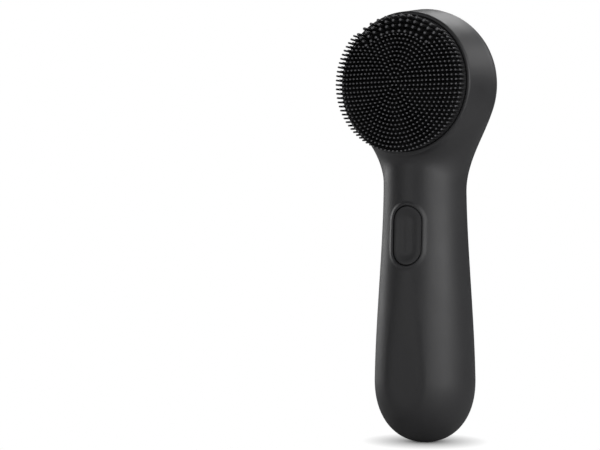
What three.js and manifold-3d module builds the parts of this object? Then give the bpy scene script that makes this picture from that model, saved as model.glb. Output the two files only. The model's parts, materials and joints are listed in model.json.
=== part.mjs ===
// Handheld facial cleansing brush: silicone skin over two plastic housings, a bristle pad on the
// round head, a vibration motor in the head, and a cell, two boards and a charging port in the handle.
// Millimetres. +Z runs up the handle, the bristles face -Y, and the origin is the middle of the foot.
import * as THREE from "three";
import { mergeVertices } from "three/addons/utils/BufferGeometryUtils.js";
import Module from "manifold-3d";

const wasm = await Module();
wasm.setup();

// ---- driving dimensions -------------------------------------------------------------------------

// Handle: a round grip, fullest low down, drawn in to a neck, on a rounded end with a small flat foot.
const GRIP = { radius: 19.55, z: 24, drop: 24.15, power: 2.2 };
const NECK = { radius: 16.08, z: 97, domeZ: 104, domeHeight: 34.8, straightShare: 0.35 };
// Head: a drum about the Y axis with a tapering side wall and a broad, shallow back.
const HEAD = { z: 137.8, rimRadius: 27.15, frontY: -18.2, radius: 29.8, wideY: -2.8, backDepth: 17, power: 2.5 };
// How far the neck and the head melt into each other, front and back, and at the sides.
const BLEND = { front: 4, side: 11, lean: 5, topZ: 130, inset: 0.4 };

// Skin and housing walls, as depths below the outer surface.
const SKIN = 1.4;
const HOUSING = { outer: 2.0, inner: 3.7 };
const GAP = 0.3;

// Opening at the back of the handle, shared by the window (above) and the port cover (below).
const INSET = { halfWidth: 11.1, bottomZ: 17.8, topZ: 71.1, splitZ: 33.2 };
const NOTCH = { halfWidth: 6, halfHeight: 2.8, depth: 0.9 };
const PORT = { z: 25.5, wellHalfWidth: 5.7, wellHalfHeight: 3.5, wall: 1, floorY: 14, mouthY: 14.3 };

// Power button in the front of the handle.
const BUTTON = { z: 80, halfWidth: 5.85, halfHeight: 11.2, recess: 1.2, flange: 1.4 };

// Grip ribs across the back of the head: sharp crests with a scoop under each of the first five.
const RIBS = { topZ: 154.5, pitch: 7, count: 5, depth: 1.2, valley: 0.35 };

// Bristle pad, its seat and its carrier plate.
const PAD = { openingRadius: 25.9, radius: 25.6, tipRadius: 26.3, tipY: -26.95, edgeTipY: -24.3, edgeY: -19 };
const SEAT = { plugRadius: 19.3, ledgeRadius: 19.6, frontY: -16.2, backY: -13.5 };
const CARRIER = { radius: 23, frontY: -13.2, backY: -11.4, screwRadius: 21.6 };

// Vibration motor, standing in the neck with its shaft up.
const MOTOR = { y: -1, radius: 7.5, bottomZ: 108, topZ: 130, wall: 0.6, shaft: 1 };

// Cell and boards.
const CELL = { y: 4.2, radius: 7, bottomZ: 50, topZ: 91.6 };
const BOARD = { halfWidth: 8.5, frontY: -7.2, backY: -6, bottomZ: 46, topZ: 96 };
const CHARGE_BOARD = { halfWidth: 7, frontY: 5.8, backY: 6.8, bottomZ: 16, topZ: 46 };

// Screws.
const SCREW = { headRadius: 1.9, headHeight: 1.2, shankRadius: 0.9, holeRadius: 1.2, bossRadius: 2.6 };
const HOUSING_SCREW_Z = [9.5, 101.2];
const BOARD_SCREW = { x: 6, z: 58 };

// Facets round the skin and round the housings.
const FINE = { body: 20, head: 24 };
const COARSE = { body: 20, head: 20 };

// ---- closed solids ------------------------------------------------------------------------------

// Turns a closed three.js geometry into a solid: shared vertices merged, faces pointing out.
function solid(geometry) {
  const bare = geometry.index ? geometry.toNonIndexed() : geometry;
  bare.deleteAttribute("normal");
  bare.deleteAttribute("uv");
  const merged = mergeVertices(bare, 1e-4);
  const points = merged.attributes.position.array;
  const index = merged.index.array;
  const corner = (i) => new THREE.Vector3(points[3 * i], points[3 * i + 1], points[3 * i + 2]);
  const faces = [];
  let volume = 0;
  for (let i = 0; i < index.length; i += 3) {
    const [a, b, c] = [index[i], index[i + 1], index[i + 2]];
    if (a === b || b === c || c === a) continue;
    volume += corner(a).dot(corner(b).cross(corner(c)));
    faces.push([a, b, c]);
  }
  const outward = volume > 0 ? faces : faces.map(([a, b, c]) => [a, c, b]);
  return new wasm.Manifold(new wasm.Mesh({
    numProp: 3,
    vertProperties: new Float32Array(points),
    triVerts: new Uint32Array(outward.flat()),
  }));
}

function toGeometry(shape) {
  const mesh = shape.getMesh();
  const geometry = new THREE.BufferGeometry();
  geometry.setAttribute("position", new THREE.BufferAttribute(new Float32Array(mesh.vertProperties), 3));
  geometry.setIndex(new THREE.BufferAttribute(new Uint32Array(mesh.triVerts), 1));
  geometry.computeVertexNormals();
  return geometry;
}

const add = (...shapes) => shapes.reduce((sum, shape) => sum.add(shape));
const cut = (shape, ...tools) => tools.reduce((rest, tool) => rest.subtract(tool), shape);

function block(x0, x1, y0, y1, z0, z1) {
  const box = new THREE.BoxGeometry(x1 - x0, y1 - y0, z1 - z0);
  return solid(box.translate((x0 + x1) / 2, (y0 + y1) / 2, (z0 + z1) / 2));
}

// A turned piece about a vertical axis through (x, y); outline points are [radius, z].
function turnedZ(outline, x = 0, y = 0, sides = 16) {
  const points = outline.map(([r, z]) => new THREE.Vector2(r, z));
  return solid(new THREE.LatheGeometry(points, sides).rotateX(Math.PI / 2).translate(x, y, 0));
}

// A turned piece about an axis along Y through (x, z); outline points are [radius, y].
function turnedY(outline, x = 0, z = 0, sides = 16) {
  const points = outline.map(([r, y]) => new THREE.Vector2(r, y));
  return solid(new THREE.LatheGeometry(points, sides).translate(x, 0, z));
}

const rodZ = (radius, z0, z1, x = 0, y = 0, sides = 12) =>
  turnedZ([[0, z0], [radius, z0], [radius, z1], [0, z1]], x, y, sides);
const rodY = (radius, y0, y1, x = 0, z = 0, sides = 12) =>
  turnedY([[0, y0], [radius, y0], [radius, y1], [0, y1]], x, z, sides);
const ringZ = (inner, outer, z0, z1, y = 0, sides = 16) =>
  turnedZ([[inner, z0], [outer, z0], [outer, z1], [inner, z1], [inner, z0]], 0, y, sides);

// A flat outline in X and Z, pushed along Y from y0 to y1.
function prismY(outline, y0, y1, curveSegments = 6) {
  const options = { depth: y1 - y0, bevelEnabled: false, curveSegments };
  return solid(new THREE.ExtrudeGeometry(outline, options).rotateX(Math.PI / 2).translate(0, y1, 0));
}

// A flat outline in X and Y, pushed up from z0 to z1.
function prismZ(outline, z0, z1, y = 0, curveSegments = 8) {
  const options = { depth: z1 - z0, bevelEnabled: false, curveSegments };
  return solid(new THREE.ExtrudeGeometry(outline, options).translate(0, y, z0));
}

// An upright or level obround: a rectangle whose short sides are half circles.
function obround(halfWidth, halfHeight, z) {
  const shape = new THREE.Shape();
  if (halfHeight > halfWidth) {
    shape.absarc(0, z + halfHeight - halfWidth, halfWidth, 0, Math.PI, false);
    shape.absarc(0, z - halfHeight + halfWidth, halfWidth, Math.PI, 2 * Math.PI, false);
  } else {
    shape.absarc(halfWidth - halfHeight, z, halfHeight, -Math.PI / 2, Math.PI / 2, false);
    shape.absarc(halfHeight - halfWidth, z, halfHeight, Math.PI / 2, 3 * Math.PI / 2, false);
  }
  shape.closePath();
  return shape;
}

// A wire or ribbon: a small section carried along a smooth curve through the given points.
function swept(section, route, steps) {
  const curve = new THREE.CatmullRomCurve3(route.map((point) => new THREE.Vector3(...point)));
  return solid(new THREE.ExtrudeGeometry(section, { extrudePath: curve, steps, bevelEnabled: false }));
}

function wire(route) {
  const sides = 6;
  const section = new THREE.Shape();
  for (let i = 0; i < sides; i += 1) {
    const turn = (2 * Math.PI * i) / sides;
    section[i ? "lineTo" : "moveTo"](0.5 * Math.cos(turn), 0.5 * Math.sin(turn));
  }
  section.closePath();
  return swept(section, route, 8);
}

// A pan-head screw along Y: its head lies between headY and the surface it clamps.
function screw(headY, tipY, x, z) {
  const side = Math.sign(headY - tipY);
  const underHead = headY - side * SCREW.headHeight;
  const outline = [[0, headY], [SCREW.headRadius, headY], [SCREW.headRadius, underHead]];
  outline.push([SCREW.shankRadius, underHead], [SCREW.shankRadius, tipY], [0, tipY]);
  return turnedY(outline, x, z, 10);
}

// ---- outer form ---------------------------------------------------------------------------------

// Radius of the handle at a height, measured to a surface that lies `depth` under the outer one.
function handleRadius(z, depth) {
  if (z < GRIP.z) {
    const reach = Math.min((GRIP.z - z) / (GRIP.drop - depth), 1);
    return (GRIP.radius - depth) * (1 - reach ** GRIP.power) ** (1 / GRIP.power);
  }
  const rise = Math.min((z - GRIP.z) / (NECK.z - GRIP.z), 1);
  const eased = rise * rise * (3 - 2 * rise);
  const share = NECK.straightShare * rise + (1 - NECK.straightShare) * eased;
  const radius = GRIP.radius - (GRIP.radius - NECK.radius) * share - depth;
  if (z < NECK.domeZ) return radius;
  const dome = Math.min((z - NECK.domeZ) / (NECK.domeHeight - depth), 1);
  return radius * Math.sqrt(1 - dome * dome);
}

// Radius of the head's side wall at a place along its axis.
const wallRadius = (y) =>
  HEAD.radius - ((HEAD.radius - HEAD.rimRadius) * (HEAD.wideY - y)) / (HEAD.wideY - HEAD.frontY);

// Roughly the distance outside the handle, and outside the head.
const outsideHandle = (x, y, z) => Math.hypot(x, y) - handleRadius(z, 0);

function outsideHead(x, y, z) {
  const reach = Math.hypot(x, z - HEAD.z);
  if (y < HEAD.wideY) return Math.max(reach - wallRadius(y), HEAD.frontY - y);
  const along = (y - HEAD.wideY) / HEAD.backDepth;
  const scale = ((reach / HEAD.radius) ** HEAD.power + along ** HEAD.power) ** (1 / HEAD.power);
  return Math.hypot(reach, y - HEAD.wideY) * (1 - 1 / Math.max(scale, 1e-6));
}

// Distance outside the whole form: handle and head joined with a soft fillet, wider at the sides.
function outsideForm(x, y, z) {
  const handle = outsideHandle(x, y, z);
  const head = outsideHead(x, y, z);
  const reach = Math.max(Math.hypot(x, y), 1e-3);
  const width = BLEND.front + (BLEND.side + (BLEND.lean * y) / reach) * (x / reach) ** 2;
  const overlap = Math.max(width - Math.abs(handle - head), 0) / width;
  const joined = Math.min(handle, head) - (overlap * overlap * width) / 4;
  return Math.max(joined, HEAD.frontY - y);
}

// Distance from the middle line to the surface in a level slice, in the direction `turn`.
function sliceRadius(z, turn, depth) {
  let inside = 0;
  let outside = HEAD.radius * 1.5;
  for (let step = 0; step < 30; step += 1) {
    const middle = (inside + outside) / 2;
    const reached = outsideForm(middle * Math.cos(turn), middle * Math.sin(turn), z);
    if (reached < -depth) inside = middle;
    else outside = middle;
  }
  return inside;
}

// Handle and neck, up into the head, as level slices.
function bodyForm(depth, sides) {
  const bottomZ = Math.max(0, GRIP.z - GRIP.drop + depth + 0.15);
  const lowest = [0, 0.03, 0.1, 0.22, 0.38, 0.56, 0.77].map((share) => bottomZ + (GRIP.z - bottomZ) * share);
  const levels = [...lowest, GRIP.z, 43, 61, 79, NECK.z, 102, 105, 107.5, 109.5, 111.5, 114, 118, 122, 126];
  const rings = [...levels, BLEND.topZ].map((z) => {
    const sunk = BLEND.inset * THREE.MathUtils.smoothstep(z, 112, 124);
    return Array.from({ length: sides }, (_, i) => {
      const turn = (2 * Math.PI * i) / sides;
      const radius = z <= NECK.z ? handleRadius(z, depth) : sliceRadius(z, turn, depth + sunk);
      return new THREE.Vector3(radius * Math.cos(turn), radius * Math.sin(turn), z);
    });
  });
  const corners = [];
  rings.slice(1).forEach((upper, row) => {
    const lower = rings[row];
    lower.forEach((point, i) => {
      const next = (i + 1) % sides;
      corners.push(point, lower[next], upper[next], point, upper[next], upper[i]);
    });
  });
  [rings[0], rings.at(-1)].forEach((ring, end) => {
    const middle = new THREE.Vector3(0, 0, ring[0].z);
    ring.forEach((point, i) => {
      const next = ring[(i + 1) % sides];
      corners.push(middle, end ? point : next, end ? next : point);
    });
  });
  return solid(new THREE.BufferGeometry().setFromPoints(corners));
}

// The head drum alone: front face, tapering wall and rounded back.
function headForm(depth, sides) {
  const slope = (HEAD.radius - HEAD.rimRadius) / (HEAD.wideY - HEAD.frontY);
  const frontY = HEAD.frontY + depth;
  const outline = [[0, frontY], [HEAD.rimRadius + slope * depth - depth, frontY]];
  const steps = 7;
  for (let i = 0; i <= steps; i += 1) {
    const turn = (Math.PI / 2) * (i / steps);
    const reach = (HEAD.radius - depth) * Math.cos(turn) ** (2 / HEAD.power);
    const back = (HEAD.backDepth - depth) * Math.sin(turn) ** (2 / HEAD.power);
    outline.push([i === steps ? 0 : reach, HEAD.wideY + back]);
  }
  return turnedY(outline, 0, HEAD.z, sides);
}

const form = (depth, sides) => add(bodyForm(depth, sides.body), headForm(depth, sides.head));

const outerForm = form(0, FINE);
const underSkin = form(SKIN, FINE);
const skinShell = cut(outerForm, underSkin);
const housingForm = form(HOUSING.outer, COARSE);
const housingShell = cut(housingForm, form(HOUSING.inner, COARSE));

// ---- openings -----------------------------------------------------------------------------------

const insetMiddle = (INSET.topZ + INSET.bottomZ) / 2;
const insetHalfHeight = (INSET.topZ - INSET.bottomZ) / 2;
const insetPrism = (shrink) =>
  prismY(obround(INSET.halfWidth - shrink, insetHalfHeight - shrink, insetMiddle), 8, 24, 8);
const buttonPrism = (grow, y0 = -24, y1 = -6) =>
  prismY(obround(BUTTON.halfWidth + grow, BUTTON.halfHeight + grow, BUTTON.z), y0, y1);
const wellPrism = (grow, y0, y1) =>
  prismY(obround(PORT.wellHalfWidth + grow, PORT.wellHalfHeight + grow, PORT.z), y0, y1);
const socketPrism = (grow, y0, y1) => prismY(obround(4.5 + grow, 1.6 + grow, PORT.z), y0, y1, 4);
const guidePrism = (grow, y0, y1) => block(-2.8 - grow, 2.8 + grow, y0, y1, 39 - grow, 43 + grow);
const above = (z) => block(-40, 40, -40, 40, z, 200);
const below = (z) => block(-40, 40, -40, 40, -10, z);

// One scoop: steep just under its crest, then a long ramp out to the next crest.
function ribScoop(crestZ) {
  const surface = (z) => sliceRadius(z, Math.PI / 2, 0);
  const valleyZ = crestZ - RIBS.pitch * RIBS.valley;
  const footZ = crestZ - RIBS.pitch;
  const outline = new THREE.Shape();
  outline.moveTo(surface(crestZ) + 3, crestZ);
  outline.lineTo(surface(crestZ), crestZ);
  outline.lineTo(surface(valleyZ) - RIBS.depth, valleyZ);
  outline.lineTo(surface(footZ), footZ);
  outline.lineTo(surface(footZ) + 3, footZ);
  outline.closePath();
  // The outline lies in Y and Z: turned so that it is pushed along X.
  const options = { depth: 50, bevelEnabled: false };
  const scoop = new THREE.ExtrudeGeometry(outline, options);
  return solid(scoop.rotateX(Math.PI / 2).rotateZ(Math.PI / 2).translate(-25, 0, 0));
}

// ---- casing -------------------------------------------------------------------------------------

function makeSleeve() {
  const crests = Array.from({ length: RIBS.count }, (_, i) => RIBS.topZ - RIBS.pitch * i);
  const padOpening = rodY(PAD.openingRadius, -24, -14, 0, HEAD.z, FINE.head);
  return cut(skinShell, padOpening, insetPrism(0), buttonPrism(GAP), ...crests.map(ribScoop));
}

function makeFrontHousing() {
  const ledge = turnedY([
    [SEAT.ledgeRadius, SEAT.frontY],
    [PAD.radius - 1.5, SEAT.frontY],
    [PAD.radius - 1.5, SEAT.backY],
    [SEAT.ledgeRadius, SEAT.backY],
    [SEAT.ledgeRadius, SEAT.frontY],
  ], 0, HEAD.z, 24);
  const screwBosses = HOUSING_SCREW_Z.map((z) => rodY(SCREW.bossRadius, -20, -GAP / 2, 0, z));
  const boardBosses = [-1, 1].map((side) =>
    rodY(2.2, -20, BOARD.frontY - GAP, side * BOARD_SCREW.x, BOARD_SCREW.z));
  const walls = add(housingShell, ledge, ...screwBosses, ...boardBosses).intersect(housingForm);
  const frontHalf = walls.intersect(block(-40, 40, -40, -GAP / 2, -10, 200));
  const screwHoles = HOUSING_SCREW_Z.map((z) => rodY(SCREW.holeRadius, -8.4, 1, 0, z, 10));
  const boardHoles = [-1, 1].map((side) =>
    rodY(SCREW.holeRadius, -12, -6, side * BOARD_SCREW.x, BOARD_SCREW.z, 8));
  const seatHoles = carrierScrewPlaces.map(([x, z]) => rodY(SCREW.holeRadius, -15.5, -13, x, z, 8));
  const padHole = rodY(SEAT.ledgeRadius, -20, -12, 0, HEAD.z, 24);
  return cut(frontHalf, padHole, buttonPrism(0.6), ...screwHoles, ...boardHoles, ...seatHoles);
}

function makeRearHousing() {
  const bosses = HOUSING_SCREW_Z.map((z) => rodY(SCREW.bossRadius, GAP / 2, 20, 0, z));
  const walls = add(housingShell, ...bosses).intersect(housingForm);
  const rearHalf = walls.intersect(block(-40, 40, GAP / 2, 40, -10, 200));
  const holes = HOUSING_SCREW_Z.map((z) => rodY(SCREW.holeRadius, -1, 20, 0, z, 10));
  const headPockets = HOUSING_SCREW_Z.map((z) => rodY(SCREW.headRadius + GAP, housingScrewSeat(z), 20, 0, z));
  return cut(rearHalf, wellPrism(PORT.wall + GAP, 8, 24), guidePrism(GAP, 8, 24), ...holes, ...headPockets);
}

// Place along Y where a housing screw's head bears on the rear housing.
const housingScrewSeat = (z) => Math.round(10 * (handleRadius(z, HOUSING.outer) - 3)) / 10;

const carrierScrewPlaces = [50, 130, 200, 340].map((degrees) => {
  const turn = THREE.MathUtils.degToRad(degrees);
  return [CARRIER.screwRadius * Math.cos(turn), HEAD.z + CARRIER.screwRadius * Math.sin(turn)];
});

// ---- brush head ---------------------------------------------------------------------------------

function makeBristlePad() {
  const outline = [[0, -18.6], [17.3, -18.6], [17.3, SEAT.backY], [SEAT.plugRadius, SEAT.backY]];
  outline.push([SEAT.plugRadius, SEAT.frontY - GAP], [22.9, SEAT.frontY - GAP], [22.9, -17.9], [24.4, -17.9]);
  outline.push([24.4, SEAT.frontY - GAP], [PAD.radius, SEAT.frontY - GAP], [PAD.radius, PAD.edgeY]);
  for (const share of [1, 0.75, 0.5, 0.25, 0]) {
    outline.push([PAD.tipRadius * share, PAD.tipY + (PAD.edgeTipY - PAD.tipY) * share * share]);
  }
  return turnedY(outline, 0, HEAD.z, FINE.head);
}

const makeSealRing = () =>
  turnedY([[23.1, -17.7], [24.2, -17.7], [24.2, -16.5], [23.1, -16.5], [23.1, -17.7]], 0, HEAD.z, FINE.head);

function makeCarrier() {
  const disc = rodY(CARRIER.radius, CARRIER.frontY, CARRIER.backY, 0, HEAD.z, 24);
  const places = [...carrierScrewPlaces, ...cradleScrewPlaces];
  return cut(disc, ...places.map(([x, z]) => rodY(SCREW.holeRadius, -14, -11, x, z, 8)));
}

// ---- button -------------------------------------------------------------------------------------

function makePowerButton() {
  const cap = buttonPrism(0).intersect(cut(grip(BUTTON.recess), grip(HOUSING.inner + 1.3)));
  const lip = buttonPrism(BUTTON.flange).intersect(cut(grip(HOUSING.inner + 0.6), grip(HOUSING.inner + 1.3)));
  return add(cap, lip);
}

// The straight part of the handle round the button, at a depth under its surface.
function grip(depth) {
  const levels = [64, 72, 80, 88, 96];
  const outline = levels.map((z) => [handleRadius(z, depth), z]);
  return turnedZ([[0, levels[0]], ...outline, [0, levels.at(-1)]], 0, 0, FINE.body);
}

function makeSwitchBody() {
  const body = block(-3, 3, -10.3, -7.5, BUTTON.z - 3, BUTTON.z + 3);
  return cut(body, rodY(1.9, -12, -9, 0, BUTTON.z));
}

const makeSwitchStem = () => rodY(1.6, -11.3, -9.7, 0, BUTTON.z);

// ---- window and charging port -------------------------------------------------------------------

function makeWindow() {
  const pane = skinShell.intersect(insetPrism(GAP)).intersect(above(INSET.splitZ + GAP / 2));
  const scoop = new THREE.SphereGeometry(1, 12, 8).scale(NOTCH.halfWidth, NOTCH.depth, NOTCH.halfHeight);
  return cut(pane, solid(scoop.translate(0, handleRadius(INSET.splitZ, 0) + 0.05, INSET.splitZ)));
}

function makePortCover() {
  const flap = skinShell.intersect(insetPrism(GAP)).intersect(below(INSET.splitZ - GAP / 2));
  const plug = prismY(obround(4.6, 2.2, PORT.z), 16.2, 18.2, 4);
  return add(flap, plug);
}

function makePortFrame() {
  const body = wellPrism(PORT.wall, 12.8, 20).intersect(form(SKIN + 0.4, FINE));
  return cut(body, wellPrism(0, PORT.floorY, 22), socketPrism(GAP, 12, 16));
}

const makeSocket = () => cut(socketPrism(0, 7.1, PORT.mouthY), socketPrism(-0.35, 8.1, 15));
const makeTongue = () => block(-3.3, 3.3, 8.4, 13.4, PORT.z - 0.35, PORT.z + 0.35);
const makeLightGuide = () => guidePrism(0, 8.1, 20).intersect(form(SKIN + 0.4, FINE));

// ---- cell, boards and leads ---------------------------------------------------------------------

function makeMainBoard() {
  const { halfWidth, frontY, backY, bottomZ, topZ } = BOARD;
  const holes = [-1, 1].map((side) => rodY(SCREW.holeRadius, -8, -5, side * BOARD_SCREW.x, BOARD_SCREW.z, 8));
  return cut(block(-halfWidth, halfWidth, frontY, backY, bottomZ, topZ), ...holes);
}

function makeChargeBoard() {
  const { halfWidth, frontY, backY, bottomZ, topZ } = CHARGE_BOARD;
  return block(-halfWidth, halfWidth, frontY, backY, bottomZ, topZ);
}

function makeBatteryHolder() {
  const trough = new THREE.Shape();
  trough.absarc(0, 0, CELL.radius + 1.4, Math.PI, 2 * Math.PI, false);
  trough.absarc(0, 0, CELL.radius + GAP, 2 * Math.PI, Math.PI, true);
  trough.closePath();
  const shelf = rodZ(CELL.radius + 1.4, CELL.bottomZ - 1.8, CELL.bottomZ - 0.4, 0, CELL.y, 20);
  return add(prismZ(trough, CELL.bottomZ - 1.4, CELL.topZ, CELL.y, 10), shelf);
}

function makeCell() {
  const { radius, bottomZ, topZ } = CELL;
  const outline = [[0, bottomZ], [radius - 0.6, bottomZ], [radius, bottomZ + 0.6], [radius, topZ - 0.6]];
  return turnedZ([...outline, [radius - 0.6, topZ], [0, topZ]], 0, CELL.y, 20);
}

function makeFlexCable() {
  const section = new THREE.Shape();
  [[-3, -0.2], [3, -0.2], [3, 0.2], [-3, 0.2]].forEach(([a, b], i) => section[i ? "lineTo" : "moveTo"](a, b));
  section.closePath();
  const route = [[0, 5.2, 43], [0, 4.6, 39.5], [0, 1.5, 37.5], [0, -2.5, 39], [0, -5, 43], [0, -5.4, 48]];
  return swept(section, route, 12);
}

// ---- motor --------------------------------------------------------------------------------------

function makeMotorCase() {
  const { radius, wall, bottomZ, topZ } = MOTOR;
  const inner = radius - wall;
  return turnedZ([
    [inner, bottomZ], [radius, bottomZ], [radius, topZ], [2.4, topZ],
    [2.4, topZ - wall], [inner, topZ - wall], [inner, bottomZ],
  ], 0, MOTOR.y, 20);
}

const makeMotorEndCap = () =>
  turnedZ([
    [MOTOR.shaft + GAP, 106.3], [7.4, 106.3], [7.4, 107.7], [6.6, 107.7],
    [6.6, 109.4], [MOTOR.shaft + GAP, 109.4], [MOTOR.shaft + GAP, 106.3],
  ], 0, MOTOR.y, 16);

// A flat ring segment about the motor's axis, between two angles.
function sector(inner, outer, from, to) {
  const shape = new THREE.Shape();
  shape.absarc(0, 0, outer, from, to, false);
  shape.absarc(0, 0, inner, to, from, true);
  shape.closePath();
  return shape;
}

function makeMagnet(side) {
  const middle = side > 0 ? 0 : Math.PI;
  return prismZ(sector(5.4, 6.6, middle - 1, middle + 1), 111, 127, MOTOR.y);
}

// Three poles on a hub.
function makeArmature() {
  const hub = ringZ(MOTOR.shaft + GAP, 2.3, 112, 126, MOTOR.y, 12);
  const poles = [0, 1, 2].map((i) => {
    const turn = (2 * Math.PI * i) / 3;
    const shoe = prismZ(sector(3.7, 4.9, turn - 0.85, turn + 0.85), 112, 126, MOTOR.y, 6);
    const arm = new THREE.BoxGeometry(2.4, 1.5, 14).translate(3, 0, 119).rotateZ(turn).translate(0, MOTOR.y, 0);
    return add(shoe, solid(arm));
  });
  return add(hub, ...poles);
}

function makeEccentricWeight() {
  const lobe = prismZ(sector(MOTOR.shaft + GAP, 6.2, -Math.PI * 0.95, -Math.PI * 0.05), 132.6, 139, MOTOR.y, 10);
  return add(lobe, ringZ(MOTOR.shaft + GAP, 2.6, 132.6, 139, MOTOR.y, 12));
}

const cradleScrewPlaces = [-1, 1].map((side) => [side * 12.3, 124]);

function makeMotorCradle() {
  const inner = 9.1;
  const outer = 10.1;
  const saddle = new THREE.Shape();
  saddle.moveTo(outer, 3);
  saddle.lineTo(inner, 3);
  saddle.absarc(0, 0, inner, 0, -Math.PI, true);
  saddle.lineTo(-inner, 3);
  saddle.lineTo(-outer, 3);
  saddle.absarc(0, 0, outer, -Math.PI, 0, false);
  saddle.closePath();
  const plate = block(-14.6, 14.6, -11.1, -9.9, 118.5, 129.5);
  const flange = cut(plate, rodZ(inner, 110, 132, 0, MOTOR.y, 24));
  const holes = cradleScrewPlaces.map(([x, z]) => rodY(SCREW.holeRadius, -12, -9, x, z, 8));
  return cut(add(prismZ(saddle, 112, 129.5, MOTOR.y, 12), flange), ...holes);
}

// ---- assembly -----------------------------------------------------------------------------------

const CHARCOAL = "#3c3c3e";
const BLACK = "#101012";
const DARK_PLASTIC = "#26272a";
const STEEL = "#b9bcc0";
const COPPER = "#b5713f";
const BOARD_GREEN = "#1f5a3c";

const brush = new THREE.Group();
const casing = new THREE.Group();
const brushHead = new THREE.Group();
const controls = new THREE.Group();
const electrics = new THREE.Group();
const drive = new THREE.Group();
brush.add(casing, brushHead, controls, electrics, drive);

function place(group, name, shape, color, roughness, metalness = 0) {
  const material = new THREE.MeshStandardMaterial({ color, roughness, metalness });
  const mesh = new THREE.Mesh(toGeometry(shape), material);
  mesh.name = name;
  group.add(mesh);
}

place(casing, "silicone_sleeve", makeSleeve(), CHARCOAL, 0.62);
place(casing, "front_housing", makeFrontHousing(), DARK_PLASTIC, 0.5);
place(casing, "rear_housing", makeRearHousing(), DARK_PLASTIC, 0.5);
["lower", "upper"].forEach((level, i) => {
  const z = HOUSING_SCREW_Z[i];
  const headY = housingScrewSeat(z) + GAP + SCREW.headHeight;
  place(casing, `housing_screw_${level}`, screw(headY, -8, 0, z), STEEL, 0.35, 1);
});

place(brushHead, "bristle_pad", makeBristlePad(), BLACK, 0.35);
place(brushHead, "pad_seal_ring", makeSealRing(), BLACK, 0.6);
place(brushHead, "pad_carrier", makeCarrier(), DARK_PLASTIC, 0.5);
carrierScrewPlaces.forEach(([x, z], i) => {
  place(brushHead, `carrier_screw_${i + 1}`, screw(-9.9, -15.2, x, z), STEEL, 0.35, 1);
});

place(controls, "power_button", makePowerButton(), CHARCOAL, 0.6);
place(controls, "switch_body", makeSwitchBody(), BLACK, 0.5);
place(controls, "switch_stem", makeSwitchStem(), "#8d2a22", 0.5);
place(controls, "indicator_window", makeWindow(), "#0b0b0c", 0.08);
place(controls, "light_guide", makeLightGuide(), "#dfe6ea", 0.15);
[-1, 1].forEach((side) => {
  const lamp = block(side * 1.5 - 0.8, side * 1.5 + 0.8, 7.1, 7.8, 40.6, 41.4);
  place(controls, side < 0 ? "status_led_left" : "status_led_right", lamp, "#f4f2e0", 0.3);
});

place(electrics, "port_cover", makePortCover(), "#313133", 0.62);
place(electrics, "port_frame", makePortFrame(), BLACK, 0.6);
place(electrics, "charge_socket", makeSocket(), STEEL, 0.3, 1);
place(electrics, "socket_tongue", makeTongue(), BLACK, 0.5);
place(electrics, "charge_board", makeChargeBoard(), BOARD_GREEN, 0.5);
place(electrics, "charge_chip", block(-2, 2, 4.5, 5.5, 31, 35), BLACK, 0.5);
place(electrics, "main_board", makeMainBoard(), BOARD_GREEN, 0.5);
place(electrics, "controller_chip", block(-3.2, 3.2, -8.6, -7.5, 63.5, 70), BLACK, 0.5);
[-1, 1].forEach((side) => {
  const shape = screw(-4.5, -11.5, side * BOARD_SCREW.x, BOARD_SCREW.z);
  place(electrics, side < 0 ? "board_screw_left" : "board_screw_right", shape, STEEL, 0.35, 1);
});
place(electrics, "flex_cable", makeFlexCable(), "#c98a2b", 0.45);
place(electrics, "battery_holder", makeBatteryHolder(), DARK_PLASTIC, 0.5);
place(electrics, "battery_cell", makeCell(), "#2f5f9e", 0.4);
place(electrics, "battery_terminal", rodZ(2.5, CELL.topZ + GAP, CELL.topZ + 1.5, 0, CELL.y), STEEL, 0.3, 1);
place(electrics, "battery_foam", block(-4, 4, 11.5, 12.7, 52, 64), "#55565a", 0.9);
place(electrics, "battery_lead_red", wire([
  [1.2, 3.8, 94.1], [2.2, 2.4, 95.4], [2.8, -0.6, 96], [3, -3.6, 95.4], [3, -5.2, 93.2],
]), "#a32020", 0.5);
place(electrics, "battery_lead_black", wire([
  [-6.5, 8.8, 53], [-6.5, 8.8, 72], [-6.6, 8.8, 90.5], [-6.5, 4.6, 95.8], [-5.2, -2.6, 95.4], [-3.6, -5.2, 92.6],
]), BLACK, 0.5);

place(drive, "motor_case", makeMotorCase(), STEEL, 0.3, 1);
place(drive, "motor_end_cap", makeMotorEndCap(), "#e8e4d8", 0.5);
place(drive, "motor_magnet_left", makeMagnet(-1), "#4a4a4e", 0.6);
place(drive, "motor_magnet_right", makeMagnet(1), "#4a4a4e", 0.6);
place(drive, "motor_bush", ringZ(MOTOR.shaft + 0.25, 2.1, 128.9, 131.2, MOTOR.y, 12), "#a8863c", 0.35, 1);
place(drive, "motor_shaft", rodZ(MOTOR.shaft, 105.2, 139.6, 0, MOTOR.y, 10), STEEL, 0.25, 1);
place(drive, "motor_armature", makeArmature(), COPPER, 0.4, 1);
place(drive, "motor_commutator", ringZ(MOTOR.shaft + GAP, 2.5, 109.8, 111.6, MOTOR.y, 12), COPPER, 0.3, 1);
place(drive, "eccentric_weight", makeEccentricWeight(), "#8f8a80", 0.4, 1);
place(drive, "motor_damper", ringZ(MOTOR.radius + GAP, 8.8, 113, 128, MOTOR.y, 20), BLACK, 0.8);
place(drive, "motor_cradle", makeMotorCradle(), DARK_PLASTIC, 0.5);
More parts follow.
